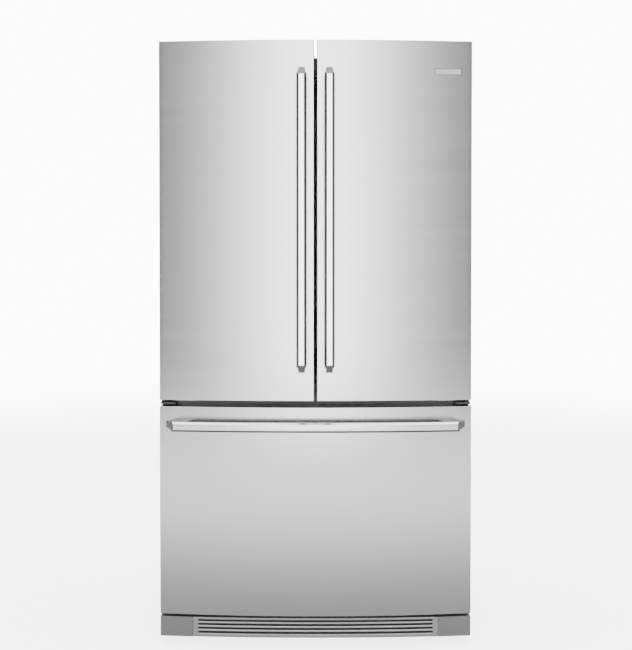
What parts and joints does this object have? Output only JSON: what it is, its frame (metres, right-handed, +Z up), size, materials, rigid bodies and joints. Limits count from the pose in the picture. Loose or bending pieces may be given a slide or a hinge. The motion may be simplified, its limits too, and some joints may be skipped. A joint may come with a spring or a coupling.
{
  "type": "french door refrigerator",
  "caption": "Free-standing refrigerator with a pair of bowed side-hinged doors over a full-width freezer drawer, tubular handles and a louvred kick grille.",
  "frame": {"origin": "on the floor, under the middle of the overall box", "axes": "+Z up, -Y out of the doors, +X to the right of a person facing the doors"},
  "size_m": [0.905, 0.769, 1.75],
  "materials": {
    "stainless_sheet": "satin",
    "handle_steel": "polished",
    "case_paint": "satin",
    "galvanised_steel": "satin",
    "black_steel": "satin",
    "foam": "matte",
    "white_liner": "satin",
    "kick_grey": "satin",
    "gasket_rubber": "matte",
    "shelf_glass": "polished",
    "clear_plastic": "gloss",
    "white_plastic": "satin",
    "black_plastic": "satin",
    "coil_aluminium": "satin",
    "badge_metal": "satin"
  },
  "bodies": {
    "cabinet": {"base_frame": "galvanised_steel", "cabinet_insulation": "foam", "cabinet_shell": "case_paint", "center_hinge_left": "galvanised_steel", "center_hinge_right": "galvanised_steel", "compressor": "black_steel", "condenser_coil": "black_steel", "control_panel": "white_plastic", "crisper_lid": "shelf_glass", "evaporator_coil": "coil_aluminium", "evaporator_cover": "white_plastic", "freezer_liner": "white_liner", "fresh_food_liner": "white_liner", "grille_end_left": "kick_grey", "grille_end_right": "kick_grey", "machine_cover": "black_steel", "rear_panel": "galvanised_steel", "shelf_lower_left": "shelf_glass", "shelf_lower_right": "shelf_glass", "shelf_upper_left": "shelf_glass", "shelf_upper_right": "shelf_glass", "slide_rail_left": "galvanised_steel", "slide_rail_right": "galvanised_steel", "toe_grille": "kick_grey", "upper_hinge_left": "galvanised_steel", "upper_hinge_right": "galvanised_steel"},
    "left_door": {"left_door_panel": "stainless_sheet", "left_door_liner": "white_liner", "left_door_gasket": "gasket_rubber", "left_door_handle": "handle_steel", "left_bin_upper": "clear_plastic", "left_bin_lower": "clear_plastic", "dairy_box": "clear_plastic"},
    "right_door": {"right_door_panel": "stainless_sheet", "right_door_liner": "white_liner", "right_door_gasket": "gasket_rubber", "right_door_handle": "handle_steel", "right_bin_upper": "clear_plastic", "right_bin_lower": "clear_plastic", "nameplate": "badge_metal"},
    "drawer": {"drawer_panel": "stainless_sheet", "drawer_liner": "white_liner", "drawer_gasket": "gasket_rubber", "drawer_handle": "handle_steel", "drawer_frame": "galvanised_steel", "freezer_basket": "white_plastic"},
    "sliding_tray": {"sliding_tray": "white_plastic"},
    "slide_middle": {"slide_middle": "galvanised_steel"},
    "dairy_lid": {"dairy_lid": "clear_plastic"},
    "flip_mullion": {"flip_mullion": "black_plastic"},
    "crisper_left": {"crisper_left": "clear_plastic"},
    "crisper_right": {"crisper_right": "clear_plastic"},
    "humidity_slider_left": {"humidity_slider_left": "white_plastic"},
    "humidity_slider_right": {"humidity_slider_right": "white_plastic"},
    "evaporator_fan": {"evaporator_fan": "black_plastic"},
    "condenser_fan": {"condenser_fan": "black_plastic"},
    "rear_roller_left": {"rear_roller_left": "black_plastic"},
    "rear_roller_right": {"rear_roller_right": "black_plastic"},
    "leveling_leg_left": {"leveling_leg_left": "galvanised_steel"},
    "leveling_leg_right": {"leveling_leg_right": "galvanised_steel"}
  },
  "joints": [
    {"name": "left_door_swing", "type": "hinge", "parent": "cabinet", "child": "left_door", "pos_m": [-0.4405, -0.2765, 0.712], "axis": [0, 0, -1], "range_deg": [0, 110]},
    {"name": "right_door_swing", "type": "hinge", "parent": "cabinet", "child": "right_door", "pos_m": [0.4405, -0.2765, 0.712], "axis": [0, 0, 1], "range_deg": [0, 110]},
    {"name": "freezer_drawer_slide", "type": "slide", "parent": "cabinet", "child": "drawer", "axis": [0, -1, 0], "range_m": [0, 0.45]},
    {"name": "slide_middle_travel", "type": "slide", "parent": "cabinet", "child": "slide_middle", "axis": [0, -1, 0], "range_m": [0, 0.225]},
    {"name": "sliding_tray_travel", "type": "slide", "parent": "drawer", "child": "sliding_tray", "axis": [0, 1, 0], "range_m": [0, 0.2]},
    {"name": "dairy_lid_flip", "type": "hinge", "parent": "left_door", "child": "dairy_lid", "pos_m": [-0.226, -0.218, 1.5265], "axis": [1, 0, 0], "range_deg": [0, 80]},
    {"name": "mullion_fold", "type": "hinge", "parent": "left_door", "child": "flip_mullion", "pos_m": [-0.036, -0.2155, 0.772], "axis": [0, 0, 1], "range_deg": [-90, 0]},
    {"name": "crisper_left_slide", "type": "slide", "parent": "cabinet", "child": "crisper_left", "axis": [0, -1, 0], "range_m": [0, 0.085]},
    {"name": "crisper_right_slide", "type": "slide", "parent": "cabinet", "child": "crisper_right", "axis": [0, -1, 0], "range_m": [0, 0.085]},
    {"name": "humidity_left_adjust", "type": "slide", "parent": "cabinet", "child": "humidity_slider_left", "axis": [1, 0, 0], "range_m": [-0.03, 0.03]},
    {"name": "humidity_right_adjust", "type": "slide", "parent": "cabinet", "child": "humidity_slider_right", "axis": [1, 0, 0], "range_m": [-0.03, 0.03]},
    {"name": "evaporator_fan_spin", "type": "hinge", "parent": "cabinet", "child": "evaporator_fan", "pos_m": [0, 0.282, 0.585], "axis": [0, 1, 0], "continuous": true},
    {"name": "condenser_fan_spin", "type": "hinge", "parent": "cabinet", "child": "condenser_fan", "pos_m": [0.045, 0.277, 0.17], "axis": [1, 0, 0], "continuous": true},
    {"name": "rear_roller_left_roll", "type": "hinge", "parent": "cabinet", "child": "rear_roller_left", "pos_m": [-0.399, 0.326, 0.022], "axis": [1, 0, 0], "continuous": true},
    {"name": "rear_roller_right_roll", "type": "hinge", "parent": "cabinet", "child": "rear_roller_right", "pos_m": [0.399, 0.326, 0.022], "axis": [1, 0, 0], "continuous": true},
    {"name": "leveling_leg_left_turn", "type": "hinge", "parent": "cabinet", "child": "leveling_leg_left", "pos_m": [-0.392, -0.19, 0], "axis": [0, 0, 1], "continuous": true},
    {"name": "leveling_leg_right_turn", "type": "hinge", "parent": "cabinet", "child": "leveling_leg_right", "pos_m": [0.392, -0.19, 0], "axis": [0, 0, 1], "continuous": true}
  ],
  "couplings": [
    {"joint": "slide_middle_travel", "follows": "freezer_drawer_slide", "ratio": 0.5}
  ]
}
